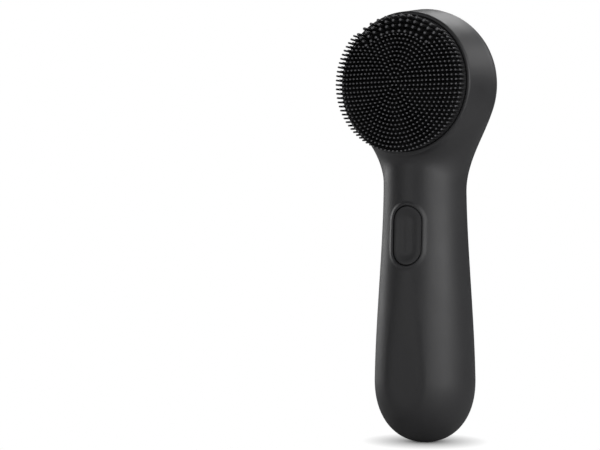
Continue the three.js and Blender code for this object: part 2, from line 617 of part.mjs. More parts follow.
cradleScrewPlaces.forEach(([x, z], i) => {
  place(drive, i ? "cradle_screw_right" : "cradle_screw_left", screw(-8.4, -12.9, x, z), STEEL, 0.35, 1);
});
[-1, 1].forEach((side) => {
  const route = [[side * 5.2, -5.1, 94.6], [side * 5.6, -4.6, 98.5], [side * 4.8, -3, 102.4], [side * 4.2, -2, 105.6]];
  place(drive, side < 0 ? "motor_lead_black" : "motor_lead_red", wire(route), side < 0 ? BLACK : "#a32020", 0.5);
});

export default brush;
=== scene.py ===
"""Facial cleansing brush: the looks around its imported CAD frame.

The brush stands on its foot at the origin, +Z up, bristles towards -Y. Shapes are worked out in
millimetres and turned into metres by make_mesh().
"""
import json
import math

import bmesh
import bpy
import numpy as np
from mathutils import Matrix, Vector
from mathutils.geometry import delaunay_2d_cdt


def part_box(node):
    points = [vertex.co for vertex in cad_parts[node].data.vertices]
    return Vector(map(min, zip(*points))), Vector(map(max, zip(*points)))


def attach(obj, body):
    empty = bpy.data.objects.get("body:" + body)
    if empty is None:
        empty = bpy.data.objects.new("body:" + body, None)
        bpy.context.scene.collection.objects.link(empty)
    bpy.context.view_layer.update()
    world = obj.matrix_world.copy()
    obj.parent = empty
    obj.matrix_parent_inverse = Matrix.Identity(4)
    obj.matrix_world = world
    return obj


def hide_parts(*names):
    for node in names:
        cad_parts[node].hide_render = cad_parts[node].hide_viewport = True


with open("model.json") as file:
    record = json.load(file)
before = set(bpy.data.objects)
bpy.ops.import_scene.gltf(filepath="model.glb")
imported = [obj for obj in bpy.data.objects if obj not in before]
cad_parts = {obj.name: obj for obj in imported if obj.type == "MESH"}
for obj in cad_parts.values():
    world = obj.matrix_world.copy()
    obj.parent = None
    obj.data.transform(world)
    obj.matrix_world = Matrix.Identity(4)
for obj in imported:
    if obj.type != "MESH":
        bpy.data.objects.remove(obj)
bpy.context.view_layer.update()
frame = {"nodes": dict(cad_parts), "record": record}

MM = 0.001


def box_mm(node):
    """Lowest and highest corner of a CAD node at rest, in millimetres."""
    low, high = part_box(node)
    return np.array(low) / MM, np.array(high) / MM


# ---- dimensions, from the frame where it holds them -------------------------------------------------

SLEEVE_LOW, SLEEVE_HIGH = box_mm("silicone_sleeve")
PAD_LOW, PAD_HIGH = box_mm("bristle_pad")
WINDOW_LOW, WINDOW_HIGH = box_mm("indicator_window")
COVER_LOW, COVER_HIGH = box_mm("port_cover")
BUTTON_LOW, BUTTON_HIGH = box_mm("power_button")

GRIP_R = -SLEEVE_LOW[1]                         # fullest radius of the handle
GRIP_Z, GRIP_DROP, GRIP_POWER = 24.0, 24.15, 2.2
NECK_R, NECK_Z, NECK_STRAIGHT = 16.08, 97.0, 0.35
DOME_Z, DOME_HEIGHT = 104.0, 34.8               # the handle's end inside the head
NECK_TOP = 120                                  # highest of the close levels in the handle's mesh
HEAD_R = SLEEVE_HIGH[0]
HEAD_Z = (PAD_LOW[2] + PAD_HIGH[2]) / 2
RIM_R, FRONT_Y, WIDE_Y = 27.15, -18.2, -2.8
BACK_DEPTH, BACK_POWER = 17.0, 2.5
BLEND_FRONT, BLEND_SIDE, BLEND_LEAN = 4.0, 11.0, 5.0
RIM_ROUND = 0.9                                 # softness of the rim's edge

SKIN = 1.4                                      # thickness of the silicone skin
GAP = 0.3                                       # clearance round the button and the panes
INSET_HALF = WINDOW_HIGH[0] + GAP
INSET_TOP, INSET_BOTTOM = WINDOW_HIGH[2] + GAP, COVER_LOW[2] - GAP
INSET_MID = (INSET_TOP + INSET_BOTTOM) / 2
INSET_TALL = (INSET_TOP - INSET_BOTTOM) / 2

FLANGE = 1.4
BUTTON_Z = (BUTTON_LOW[2] + BUTTON_HIGH[2]) / 2
BUTTON_HALF = BUTTON_HIGH[0] - FLANGE
BUTTON_TALL = (BUTTON_HIGH[2] - BUTTON_LOW[2]) / 2 - FLANGE

RIB_TOP, RIB_PITCH, RIB_COUNT = 155.3, 7.16, 5
RIB_DEPTH, RIB_REACH, RIB_TALL, RIB_MID = 1.32, 21.4, 24.0, 137.2

LIP_HIGH, LIP_WIDE, LIP_CREST = 0.42, 1.9, 0.5  # raised lip round the button
DISH_EDGE, DISH_DEEP, DISH_WIDE = 0.3, 1.35, 4.5
NOTCH_HALF, NOTCH_TALL, NOTCH_DEEP = 6.0, 2.8, 1.15

OPENING_R = 25.9                                # front opening in which the pad sits
PAD_R = 25.6
SPIGOT_R, SEAT_Y = 19.3, -16.2                  # the pad's back, which sits in its carrier
TIP_Y, TIP_SAG, TIP_SPAN = PAD_LOW[1], 2.6, 26.8    # dome of the tips: apex, fall and radius it falls over
BRISTLE, SUNK = 5.5, 0.15                       # length of a bristle, and how deep its root goes
SPLAY = 0.975                                   # radius of a root against that of its tip
ROOT_THICK, TIP_THICK, SIDES = 0.9, 0.74, 10
RINGS, RING_PITCH, FULL_RINGS = 16, 1.627, 11   # fine bristles: the outer rings leave room for the thick ones
THICK, THICK_COUNT, THICK_STEP = 1.6, 12, 7.5   # thick bristles: scale, number in a row and degrees between
THICK_FROM, THICK_TO = 45, 135
THICK_RINGS = (19.1, 21.3, 23.3, 25.1)
# painted highlight on the bristle tips, and the shafts' own black
TIP_HIGHLIGHT_TONE, SHAFT_TONE = (0.32, 0.32, 0.335), (0.035, 0.035, 0.037)
TIP_HIGHLIGHT_LENGTH = 0.6                                      # length of the painted highlight over the end of a bristle

PLUG_Z, PLUG_HALF, PLUG_TALL = 25.5, 4.6, 2.2   # boss behind the port cover
CHARGE_X, CHARGE_Z = 0.4, 25.4
DROP_X, DROP_Z = 2.9, 43.8
ROW_X, ROW_LOW, ROW_PITCH, ROW_COUNT = -3.0, 40.4, 2.55, 9


# ---- the outer form as a field: below zero inside, zero on the skin ---------------------------------

def handle_radius(z):
    low = GRIP_R * (1 - np.clip((GRIP_Z - z) / GRIP_DROP, 0, 1) ** GRIP_POWER) ** (1 / GRIP_POWER)
    rise = np.clip((z - GRIP_Z) / (NECK_Z - GRIP_Z), 0, 1)
    share = NECK_STRAIGHT * rise + (1 - NECK_STRAIGHT) * rise * rise * (3 - 2 * rise)
    dome = np.clip((z - DOME_Z) / DOME_HEIGHT, 0, 1)
    high = (GRIP_R - (GRIP_R - NECK_R) * share) * np.sqrt(1 - dome * dome)
    return np.where(z < GRIP_Z, low, high)


def soft_max(a, b, width):
    overlap = np.clip(width - np.abs(a - b), 0, None) / width
    return np.maximum(a, b) + overlap ** 2 * width / 4


def outside_head(x, y, z):
    reach = np.hypot(x, z - HEAD_Z)
    wall = HEAD_R - (HEAD_R - RIM_R) * (WIDE_Y - y) / (WIDE_Y - FRONT_Y)
    along = np.clip(y - WIDE_Y, 0, None) / BACK_DEPTH
    scale = ((reach / HEAD_R) ** BACK_POWER + along ** BACK_POWER) ** (1 / BACK_POWER)
    back = np.hypot(reach, y - WIDE_Y) * (1 - 1 / np.maximum(scale, 1e-6))
    return np.where(y < WIDE_Y, reach - wall, back)


def outside_form(x, y, z):
    """About the distance outside handle and head, joined with a fillet that is wider at the sides."""
    handle = np.hypot(x, y) - handle_radius(z) + np.clip(z - DOME_Z - DOME_HEIGHT, 0, None)
    head = outside_head(x, y, z)
    reach = np.maximum(np.hypot(x, y), 1e-3)
    width = BLEND_FRONT + (BLEND_SIDE + BLEND_LEAN * y / reach) * (x / reach) ** 2
    overlap = np.clip(width - np.abs(handle - head), 0, None) / width
    joined = np.minimum(handle, head) - overlap ** 2 * width / 4
    return soft_max(joined, FRONT_Y - y, RIM_ROUND)


def rib_depth(x, z):
    """Scoops across the back: steep under each crest, then a long ramp out to the next one."""
    down = (RIB_TOP - z) / RIB_PITCH
    inside = (down > 0) & (down < RIB_COUNT)
    step = np.where(inside, down - np.floor(down), 0)
    fade = np.clip(1 - (x / RIB_REACH) ** 2 - ((z - RIB_MID) / RIB_TALL) ** 2, 0, None) ** 1.2
    return RIB_DEPTH * fade * np.sin(np.pi * step ** 0.68) * inside


def obround_distance(x, z, half, tall, mid):
    """Distance outside an upright obround in the XZ plane."""
    straight = tall - half
    return np.hypot(x, z - mid - np.clip(z - mid, -straight, straight)) - half


def lip_height(out):
    """Raised lip round the button's opening: a quick rounded rise, then a soft fall."""
    rise = 0.25 + 0.75 * np.sin(np.pi / 2 * np.clip(out / LIP_CREST, 0, 1))
    fall = 0.5 + 0.5 * np.cos(np.pi * np.clip((out - LIP_CREST) / (LIP_WIDE - LIP_CREST), 0, 1))
    return LIP_HIGH * np.where(out < LIP_CREST, rise, fall)


def skin_field(x, y, z):
    """The form with its rib scoops and its button lip."""
    out = obround_distance(x, z, BUTTON_HALF + GAP, BUTTON_TALL + GAP, BUTTON_Z)
    raised = np.where(y < 0, lip_height(out), 0)
    return outside_form(x, y + raised, z) + np.where(y > 4, rib_depth(x, z), 0)


def button_depth(x, z):
    """How far the button's face lies under the form: shallow at its edge, dished inside."""
    inset = np.clip(-obround_distance(x, z, BUTTON_HALF, BUTTON_TALL, BUTTON_Z) / DISH_WIDE, 0, 1)
    return DISH_EDGE + (DISH_DEEP - DISH_EDGE) * inset * inset * (3 - 2 * inset)


def notch_depth(x, z):
    """Finger notch in the window's lower edge."""
    share = (x / NOTCH_HALF) ** 2 + ((z - COVER_HIGH[2]) / NOTCH_TALL) ** 2
    return NOTCH_DEEP * np.clip(1 - share, 0, 1) ** 0.75


def no_depth(x, z):
    return np.zeros_like(x)


def solve(start, direction, field, reach=45.0):
    """Distance along each ray at which the field turns positive."""
    inside = np.zeros(len(start))
    outside = np.full(len(start), reach)
    for _ in range(26):
        middle = (inside + outside) / 2
        point = start + direction * middle[:, None]
        below = field(point[:, 0], point[:, 1], point[:, 2]) < 0
        inside = np.where(below, middle, inside)
        outside = np.where(below, outside, middle)
    return (inside + outside) / 2


def on_side(x, z, side, field=outside_form):
    """Y of the surface in front (side -1) or behind (side 1) of each place in the XZ plane."""
    start = np.stack([x, np.zeros_like(x), z], axis=1)
    direction = np.tile([0.0, float(side), 0.0], (len(x), 1))
    return side * solve(start, direction, field)


# ---- meshes -----------------------------------------------------------------------------------------

def make_mesh(name, points, faces):
    mesh = bpy.data.meshes.new(name)
    mesh.from_pydata((np.asarray(points) * MM).tolist(), [], faces)
    mesh.validate()
    mesh.polygons.foreach_set("use_smooth", [True] * len(mesh.polygons))
    piece = bpy.data.objects.new(name, mesh)
    bpy.context.collection.objects.link(piece)
    return piece


def ring_strips(rows, count, closed_rows=False):
    """Quads between successive rings of `count` points each."""
    faces = []
    for row in range(rows if closed_rows else rows - 1):
        near, far = row * count, ((row + 1) % rows) * count
        for i in range(count):
            j = (i + 1) % count
            faces.append((near + i, near + j, far + j, far + i))
    return faces


def outward(piece):
    """Turns all faces outward, whichever way they were listed."""
    mesh = piece.data
    mesh.calc_loop_triangles()
    count = len(mesh.loop_triangles)
    corners = np.empty(count * 3, dtype=np.int32)
    mesh.loop_triangles.foreach_get("vertices", corners)
    places = np.empty(len(mesh.vertices) * 3)
    mesh.vertices.foreach_get("co", places)
    a, b, c = places.reshape(-1, 3)[corners.reshape(-1, 3)].transpose(1, 0, 2)
    if np.einsum("ij,ij->i", a, np.cross(b, c)).sum() < 0:
        mesh.flip_normals()
    return piece


def combine(piece, tool, operation):
    """Boolean of two closed meshes. The tool is used up."""
    modifier = piece.modifiers.new("combine", "BOOLEAN")
    modifier.object = tool
    modifier.operation = operation
    modifier.solver = "MANIFOLD"
    bpy.context.view_layer.update()
    graph = bpy.context.evaluated_depsgraph_get()
    result = bpy.data.meshes.new_from_object(piece.evaluated_get(graph))
    piece.modifiers.clear()
    piece.data = result
    bpy.data.objects.remove(tool)
    return piece


def cut(piece, *tools):
    for tool in tools:
        combine(piece, tool, "DIFFERENCE")
    return piece


def join(piece, *tools):
    for tool in tools:
        combine(piece, tool, "UNION")
    return piece


ON_FIELD, PROBE = 0.05, 0.12                    # how near counts as on a field's surface; sampling step


def shade(piece, field=None, sharp_degrees=38.0):
    """Smooth shading with sharp edges. Faces on a field's surface take the field's own normals."""
    mesh = piece.data
    mesh.polygons.foreach_set("use_smooth", [True] * len(mesh.polygons))
    mesh.set_sharp_from_angle(angle=math.radians(sharp_degrees))
    if field is None:
        return piece
    count = len(mesh.loops)
    normals = np.empty(count * 3)
    mesh.corner_normals.foreach_get("vector", normals)
    normals = normals.reshape(-1, 3)
    places = np.empty(len(mesh.vertices) * 3)
    mesh.vertices.foreach_get("co", places)
    places = places.reshape(-1, 3) / MM
    vertex = np.empty(count, dtype=np.int32)
    mesh.loops.foreach_get("vertex_index", vertex)
    totals = np.empty(len(mesh.polygons), dtype=np.int32)
    mesh.polygons.foreach_get("loop_total", totals)
    owner = np.repeat(np.arange(len(totals)), totals)
    centres = np.empty(len(totals) * 3)
    mesh.polygons.foreach_get("center", centres)
    centres = centres.reshape(-1, 3) / MM
    flat = np.empty(len(totals) * 3)
    mesh.polygons.foreach_get("normal", flat)
    flat = flat.reshape(-1, 3)
    corner = places[vertex]
    near = corner + (centres[owner] - corner) * 0.06
    gradient = np.stack([
        field(*(near + step).T) - field(*(near - step).T)
        for step in np.eye(3) * PROBE
    ], axis=1)
    gradient /= np.maximum(np.linalg.norm(gradient, axis=1, keepdims=True), 1e-9)
    on_surface = np.abs(field(*corner.T)) < ON_FIELD
    agrees = np.einsum("ij,ij->i", gradient, flat[owner]) > 0.8
    chosen = on_surface & agrees
    normals[chosen] = gradient[chosen]
    mesh.normals_split_custom_set(normals.tolist())
    return piece


# ---- silicone skin ----------------------------------------------------------------------------------

SWAP_REACH = 31.0                               # distance from the head's axis at which handle takes over


def swap_inset(x, z, sign):
    """How far one of the two overlapping meshes dives under the other beyond SWAP_REACH."""
    past = sign * (np.hypot(x, z - HEAD_Z) - SWAP_REACH)
    return np.clip(0.06 * past, 0, 0.6)


def handle_mesh(depth, columns, step):
    """Handle and neck as level rings, up into the head."""
    bottom = max(0.0, GRIP_Z - GRIP_DROP + depth + 0.1)
    turn = np.linspace(0, np.pi / 2, int(26 / step) + 6)
    rounded = GRIP_Z - (GRIP_Z - bottom) * np.cos(turn)
    straight = np.arange(GRIP_Z, NECK_Z, 2.2 * step)[1:]
    neck = np.arange(NECK_Z, NECK_TOP, 0.7 * step)
    levels = np.concatenate([rounded, straight, neck])
    angle = np.arange(columns) * 2 * np.pi / columns
    z, turn = np.meshgrid(levels, angle, indexing="ij")
    z, turn = z.ravel(), turn.ravel()
    direction = np.stack([np.cos(turn), np.sin(turn), np.zeros_like(turn)], axis=1)
    start = np.stack([np.zeros_like(z), np.zeros_like(z), z], axis=1)
    field = lambda x, y, height: outside_form(x, y, height) + depth + swap_inset(x, height, -1)
    radius = solve(start, direction, field)
    points = start + direction * radius[:, None]
    faces = ring_strips(len(levels), columns)
    faces.append(tuple(range(columns))[::-1])
    faces.append(tuple((len(levels) - 1) * columns + i for i in range(columns)))
    return outward(make_mesh("handle_form", points, faces))


PATCH_R = 21.7                                  # the ribbed part of the back is meshed level by level


def patch_points(fine):
    """Places in the XZ plane over the ribs: rows that follow the crests."""
    shares = [0.0, 0.5]
    if fine:
        shares = [0.0, 0.015, 0.05, 0.1, 0.17, 0.25, 0.34, 0.44, 0.55, 0.66, 0.77, 0.87, 0.95]
    heights = [RIB_TOP - RIB_PITCH * (k + share) for k in range(RIB_COUNT) for share in shares]
    heights += [RIB_TOP - RIB_PITCH * RIB_COUNT]
    heights += list(np.arange(RIB_TOP + 0.5, HEAD_Z + PATCH_R, 0.8 if fine else 3))
    heights += list(np.arange(RIB_TOP - RIB_PITCH * RIB_COUNT - 0.5, HEAD_Z - PATCH_R, -0.8 if fine else -3))
    across = np.arange(-PATCH_R, PATCH_R + 0.01, 0.62 if fine else 3.1)
    x, z = np.meshgrid(across, heights)
    inside = np.hypot(x, z - HEAD_Z) < PATCH_R - (0.35 if fine else 1.5)
    return x[inside], z[inside]


def head_mesh(depth, columns, fine):
    """The head about its own axis: ribbed patch, shoulder, side wall, rim and front."""
    turn = np.arange(columns) * 2 * np.pi / columns
    ring_x, ring_z = PATCH_R * np.cos(turn), HEAD_Z + PATCH_R * np.sin(turn)
    plain = lambda x, y, z: outside_form(x, y, z) + depth + swap_inset(x, z, 1)
    ribbed = lambda x, y, z: skin_field(x, y, z) + depth + swap_inset(x, z, 1)
    inner_x, inner_z = patch_points(fine)
    patch_x, patch_z = np.concatenate([ring_x, inner_x]), np.concatenate([ring_z, inner_z])
    patch_y = on_side(patch_x, patch_z, 1, ribbed if fine else plain)
    points = [np.stack([patch_x, patch_y, patch_z], axis=1)]
    flat = [Vector((x, z)) for x, z in zip(patch_x, patch_z)]
    faces = [tuple(face) for face in delaunay_2d_cdt(flat, [], [], 0, 1e-6)[2]]

    # Polar angle from the back, seen from a centre on the head's axis at its widest.
    first = np.arctan2(PATCH_R, patch_y[:columns] - WIDE_Y)
    rim = math.pi - math.atan2(RIM_R - depth, WIDE_Y - FRONT_Y - depth)
    share = np.linspace(0, 1, 20 if fine else 8)[1:]
    rows = [first + (math.pi / 2 - first) * s for s in share]
    wall = np.linspace(math.pi / 2, rim - 0.04, 16 if fine else 5)[1:]
    corner = rim + np.linspace(-0.03, 0.04, 12 if fine else 3)
    front = np.linspace(rim + 0.06, math.pi - 0.3, 5 if fine else 2)
    rows += [np.full(columns, angle) for angle in (*wall, *corner, *front)]
    centre = np.array([0.0, WIDE_Y, HEAD_Z])
    for angle in rows:
        direction = np.stack([
            np.sin(angle) * np.cos(turn), np.cos(angle), np.sin(angle) * np.sin(turn)], axis=1)
        start = np.tile(centre, (columns, 1))
        points.append(start + direction * solve(start, direction, plain, 36.0)[:, None])
    base = len(patch_x)
    strips = ring_strips(len(rows), columns)
    faces += [tuple(base + i for i in face) for face in strips]
    faces += [(i, (i + 1) % columns, base + (i + 1) % columns, base + i) for i in range(columns)]
    last = base + (len(rows) - 1) * columns
    faces.append(tuple(last + i for i in range(columns)))
    piece = make_mesh("head_form", np.concatenate(points), faces)
    turn_consistent(piece)
    return outward(piece)


def turn_consistent(piece):
    """Makes neighbouring faces agree on which side is out."""
    work = bmesh.new()
    work.from_mesh(piece.data)
    bmesh.ops.recalc_face_normals(work, faces=work.faces)
    work.to_mesh(piece.data)
    work.free()


ARC, RUN = 56, 44                               # points round each half turn and along each straight


def obround_outline(half, tall, mid, grow=0.0):
    """Points of an upright obround in the XZ plane, grown outward, counter-clockwise."""
    straight = tall - half
    half = half + grow
    turn = np.linspace(0, np.pi, ARC + 1)
    top = np.stack([half * np.cos(turn), mid + straight + half * np.sin(turn)], axis=1)
    low = np.stack([-half * np.cos(turn), mid - straight - half * np.sin(turn)], axis=1)
    run = np.linspace(0, 1, RUN + 1)[1:-1, None]
    left = top[-1] + (low[0] - top[-1]) * run
    right = low[-1] + (top[0] - low[-1]) * run
    return np.concatenate([top, left, low, right])


def arch_outline(half, arc_z, flat_z, grow=0.0):
    """Points of an arch in the XZ plane: a half circle at one end and a straight edge at the other."""
    side = 1 if arc_z > flat_z else -1
    half, flat_z = half + grow, flat_z - side * grow
    turn = np.linspace(0, np.pi, ARC + 1)
    arc = np.stack([half * np.cos(turn), arc_z + side * half * np.sin(turn)], axis=1)
    corners = np.array([[-half, flat_z], [half, flat_z]])
    run = np.linspace(0, 1, RUN + 1)[1:, None]
    down = arc[-1] + (corners[0] - arc[-1]) * run
    across = corners[0] + (corners[1] - corners[0]) * run
    up = corners[1] + (arc[0] - corners[1]) * run[:-1]
    outline = np.concatenate([arc, down, across, up])
    return outline[::side]


def stack_solid(name, loops):
    """A closed solid through matching loops of points, capped at both ends."""
    count = len(loops[0])
    points = np.concatenate(loops)
    faces = ring_strips(len(loops), count)
    faces.append(tuple(range(count))[::-1])
    faces.append(tuple((len(loops) - 1) * count + i for i in range(count)))
    return outward(make_mesh(name, points, faces))


def surface_loop(outline, side, depth):
    """An XZ outline laid on the form at a depth under its skin."""
    y = on_side(outline[:, 0], outline[:, 1], side)
    return np.stack([outline[:, 0], y - side * depth, outline[:, 1]], axis=1)


def opening_cutter(name, outline, side, through, chamfer):
    """Cuts an opening through the skin with a small bevel round its outer edge."""
    steps = [(0, through), (0, chamfer), (chamfer, 0), (2 * chamfer, -chamfer), (2 * chamfer, -6.0)]
    return stack_solid(name, [surface_loop(outline(grow), side, depth) for grow, depth in steps])


def button_opening(grow):
    return obround_outline(BUTTON_HALF + GAP, BUTTON_TALL + GAP, BUTTON_Z, grow)


def inset_opening(grow):
    return obround_outline(INSET_HALF, INSET_TALL, INSET_MID, grow)


def lip_mesh():
    """Soft raised lip round the button's opening."""
    loops = [surface_loop(button_opening(-0.5), -1, 0.9), surface_loop(button_opening(-0.5), -1, -0.1)]
    for out in (0.0, 0.06, 0.14, 0.24, 0.36, 0.5, 0.68, 0.9, 1.15, 1.4, 1.65, 1.85):
        height = float(lip_height(np.array(out)))
        loops.append(surface_loop(button_opening(out), -1, -height))
    loops.append(surface_loop(button_opening(LIP_WIDE + 0.05), -1, 0.04))
    loops.append(surface_loop(button_opening(LIP_WIDE), -1, 0.9))
    return stack_solid("lip_form", loops)


def circle_loop(radius, y, count=208):
    turn = np.arange(count) * 2 * np.pi / count
    return np.stack([radius * np.cos(turn), np.full(count, y), HEAD_Z + radius * np.sin(turn)], axis=1)


def make_skin():
    skin = join(handle_mesh(0, 168, 1.0), head_mesh(0, 208, True), lip_mesh())
    hollow = join(handle_mesh(SKIN, 48, 3.0), head_mesh(SKIN, 64, False))
    pad_opening = stack_solid("pad_opening", [
        circle_loop(OPENING_R + grow, y)
        for y, grow in ((-14.0, 0), (FRONT_Y + 0.2, 0), (FRONT_Y, 0.2), (FRONT_Y - 2, 2.2))])
    inset = opening_cutter("inset", inset_opening, 1, 3.0, 0.25)
    button = stack_solid("button_opening", [
        surface_loop(button_opening(0), -1, depth) for depth in (3.0, -3.0)])
    cut(skin, hollow, pad_opening, inset, button)
    skin.name = "soft_touch_skin"
    return shade(skin, skin_field)


# ---- panes set into the skin ------------------------------------------------------------------------

def places_inside(outline, spacing, margin):
    """A square grid of places inside an outline, clear of its edge."""
    low, high = outline.min(axis=0), outline.max(axis=0)
    x, z = np.meshgrid(np.arange(low[0], high[0], spacing), np.arange(low[1], high[1], spacing))
    x, z = x.ravel(), z.ravel()
    ahead = np.roll(outline, -1, axis=0)
    crosses = (outline[:, 1] > z[:, None]) != (ahead[:, 1] > z[:, None])
    rise = np.where(ahead[:, 1] == outline[:, 1], 1.0, ahead[:, 1] - outline[:, 1])
    reach = outline[:, 0] + (z[:, None] - outline[:, 1]) * (ahead[:, 0] - outline[:, 0]) / rise
    inside = (crosses & (x[:, None] < reach)).sum(axis=1) % 2 == 1
    away = np.hypot(x[:, None] - outline[:, 0], z[:, None] - outline[:, 1]).min(axis=1)
    return np.stack([x, z], axis=1)[inside & (away > margin)]


def pane(name, outline, side, thickness, edge, depth, spacing, extra=None):
    """A plate lying in the form's skin. `edge` lists how far inward and how deep its rounded rim runs."""
    loops = []
    for inset, under in ((0.0, thickness), *edge):
        loop = outline(-inset)
        more = depth(loop[:, 0], loop[:, 1]) if under < thickness else 0
        loops.append(surface_loop(loop, side, under + more))
    count = len(loops[0])
    faces = ring_strips(len(loops), count)
    points = list(loops)
    total = count * len(loops)
    for ring, under in ((len(loops) - 1, edge[-1][1]), (0, thickness)):
        rim = loops[ring][:, [0, 2]]
        inner = places_inside(rim, spacing, spacing * 0.45)
        if extra is not None and ring:
            clear = np.hypot(*(inner[:, None] - extra).transpose(2, 0, 1)).min(axis=1) > 0.3
            inner = np.concatenate([inner[clear], extra])
        flat = [Vector(place) for place in np.concatenate([rim, inner]).tolist()]
        border = [(i, (i + 1) % count) for i in range(count)]
        found = delaunay_2d_cdt(flat, border, [], 1, 1e-5)[2]
        more = depth(inner[:, 0], inner[:, 1]) if ring else 0
        points.append(surface_loop(inner, side, under + more))
        faces += [tuple(ring * count + i if i < count else total + i - count for i in face) for face in found]
        total += len(inner)
    piece = make_mesh(name, np.concatenate(points), faces)
    turn_consistent(piece)
    outward(piece)
    return shade(piece, lambda x, y, z: outside_form(x, y + side * depth(x, z), z))


def make_button():
    """Dished cap with the flange that keeps it behind the skin."""
    outline = lambda grow: obround_outline(BUTTON_HALF, BUTTON_TALL, BUTTON_Z, grow)
    edge = [(0.0, 0.35), (0.03, 0.18), (0.1, 0.06), (0.22, 0.0), (0.45, 0.0), (0.8, 0.0)]
    cap = pane("power_button_cap", outline, -1, 4.9, edge, button_depth, 0.6)
    loops = [
        surface_loop(outline(grow), -1, depth)
        for grow, depth in ((FLANGE, 4.9), (FLANGE, 4.4), (FLANGE - 0.1, 4.3), (-1.0, 4.3), (-1.0, 4.9))]
    strips = ring_strips(len(loops), len(loops[0]), True)
    return cap, shade(outward(make_mesh("button_flange", np.concatenate(loops), strips)))


def make_window():
    outline = lambda grow: arch_outline(WINDOW_HIGH[0], WINDOW_HIGH[2] - WINDOW_HIGH[0], WINDOW_LOW[2], grow)
    edge = [(0.0, 0.22), (0.04, 0.12), (0.12, 0.04), (0.22, 0.0)]
    turn = np.linspace(0, np.pi, 49)[1:-1]
    rings = []
    for share in (1.05, 1.0, 0.96, 0.9, 0.8, 0.65, 0.47, 0.25):
        ring = np.stack([
            NOTCH_HALF * share * np.cos(turn), COVER_HIGH[2] + NOTCH_TALL * share * np.sin(turn)], axis=1)
        rings.append(ring[ring[:, 1] > WINDOW_LOW[2] + 0.3])
    return pane("indicator_pane", outline, 1, SKIN, edge, notch_depth, 0.8, np.concatenate(rings))


def make_cover():
    outline = lambda grow: arch_outline(COVER_HIGH[0], COVER_LOW[2] + COVER_HIGH[0], COVER_HIGH[2], grow)
    edge = [(0.0, 0.25), (0.04, 0.13), (0.13, 0.04), (0.25, 0.0)]
    return pane("port_flap", outline, 1, SKIN, edge, no_depth, 0.8)


def make_plug():
    """Boss on the flap's inner side that fills the charging port."""
    lying = lambda grow: obround_outline(PLUG_TALL, PLUG_HALF, 0.0, grow)[:, ::-1]
    loops = []
    for grow, y in ((-0.4, COVER_LOW[1]), (0.0, COVER_LOW[1] + 0.4), (0.0, COVER_HIGH[1] - SKIN + 0.3)):
        outline = lying(grow)
        loops.append(np.stack([outline[:, 0], np.full(len(outline), y), outline[:, 1] + PLUG_Z], axis=1))
    return stack_solid("port_plug", loops)


# ---- marks --------------------------------------------------------------------------------------------

def inlay(name, shapes, lift):
    """Thin plates on the back of the form, each filling an outline or the band between two matching ones."""
    points, faces, total = [], [], 0
    for outer, inner in shapes:
        loops = [surface_loop(outer, 1, 0.3), surface_loop(outer, 1, -lift)]
        if inner is not None:
            loops += [surface_loop(inner, 1, -lift), surface_loop(inner, 1, 0.3)]
        count = len(outer)
        strips = ring_strips(len(loops), count, inner is not None)
        if inner is None:
            strips += [tuple(range(count))[::-1], tuple(count + i for i in range(count))]
        faces += [tuple(total + i for i in face) for face in strips]
        points += loops
        total += count * len(loops)
    return outward(make_mesh(name, np.concatenate(points), faces))


def edged(corners, parts=8):
    """A closed outline through the corners, with each side split into equal parts."""
    corners = np.array(corners, dtype=float)
    run = np.arange(parts)[:, None] / parts
    return np.concatenate([a + (b - a) * run for a, b in zip(corners, np.roll(corners, -1, axis=0))])


def bevelled_bar(x, z, half_wide, half_tall, bevel):
    """Outline of an upright bar with its corners cut."""
    wide, tall = half_wide - bevel, half_tall - bevel
    return edged([
        (x + half_wide, z - tall), (x + half_wide, z + tall),
        (x + wide, z + half_tall), (x - wide, z + half_tall),
        (x - half_wide, z + tall), (x - half_wide, z - tall),
        (x - wide, z - half_tall), (x + wide, z - half_tall)])


def round_spot(x, z, radius):
    turn = np.arange(20) * 2 * np.pi / 20
    return np.stack([x + radius * np.cos(turn), z + radius * np.sin(turn)], axis=1)


def drop_outline(x, z, size):
    """A water drop: round below, drawn out to a point above."""
    turn = np.arange(40) * 2 * np.pi / 40
    slim = np.sin(turn / 2) ** 1.3
    return np.stack([x - size * 0.95 * np.sin(turn) * slim, z + size * np.cos(turn)], axis=1)


def charge_mark():
    """Battery outline with its terminal, broken in the middle by a bolt."""
    x, z = CHARGE_X, CHARGE_Z
    bolt = np.array([(-0.35, 1.5), (-1.05, -0.25), (0.3, -0.25)])
    near = [(1.1, 1.22), (2.1, 1.22), (2.22, 1.1), (2.22, -1.1), (2.1, -1.22), (0.75, -1.22)]
    near += [(0.75, -1.7), (2.3, -1.7), (2.7, -1.3), (2.7, 1.3), (2.3, 1.7), (1.1, 1.7)]
    shapes = [(edged(np.array(near) + (x, z)), None), (edged(np.array(near) * (-1, -1) + (x, z)), None)]
    shapes += [(edged(bolt + (x, z)), None), (edged(-bolt + (x, z)), None)]
    shapes += [(bevelled_bar(x + 3.05, z, 0.25, 0.75, 0.12), None)]
    return inlay("charge_mark", shapes, 0.012)


def window_motif():
    """Plain ornament: a drop with two bubbles, and a row of diamonds and dots."""
    shapes = [(drop_outline(DROP_X, DROP_Z, 4.1), drop_outline(DROP_X, DROP_Z - 0.1, 3.45))]
    shapes += [(round_spot(DROP_X + 1.0, DROP_Z + 4.6, 0.6), None)]
    shapes += [(round_spot(DROP_X - 0.8, DROP_Z + 6.0, 0.42), None)]
    diamond = np.array([(0.85, 0.0), (0.0, 0.95), (-0.85, 0.0), (0.0, -0.95)])
    for step in range(ROW_COUNT):
        z = ROW_LOW + ROW_PITCH * step
        shapes.append((edged(diamond + (ROW_X, z), 4), None))
        if step < ROW_COUNT - 1:
            shapes.append((round_spot(ROW_X, z + ROW_PITCH / 2, 0.26), None))
    return inlay("window_motif", shapes, 0.02)


# ---- bristle pad ------------------------------------------------------------------------------------

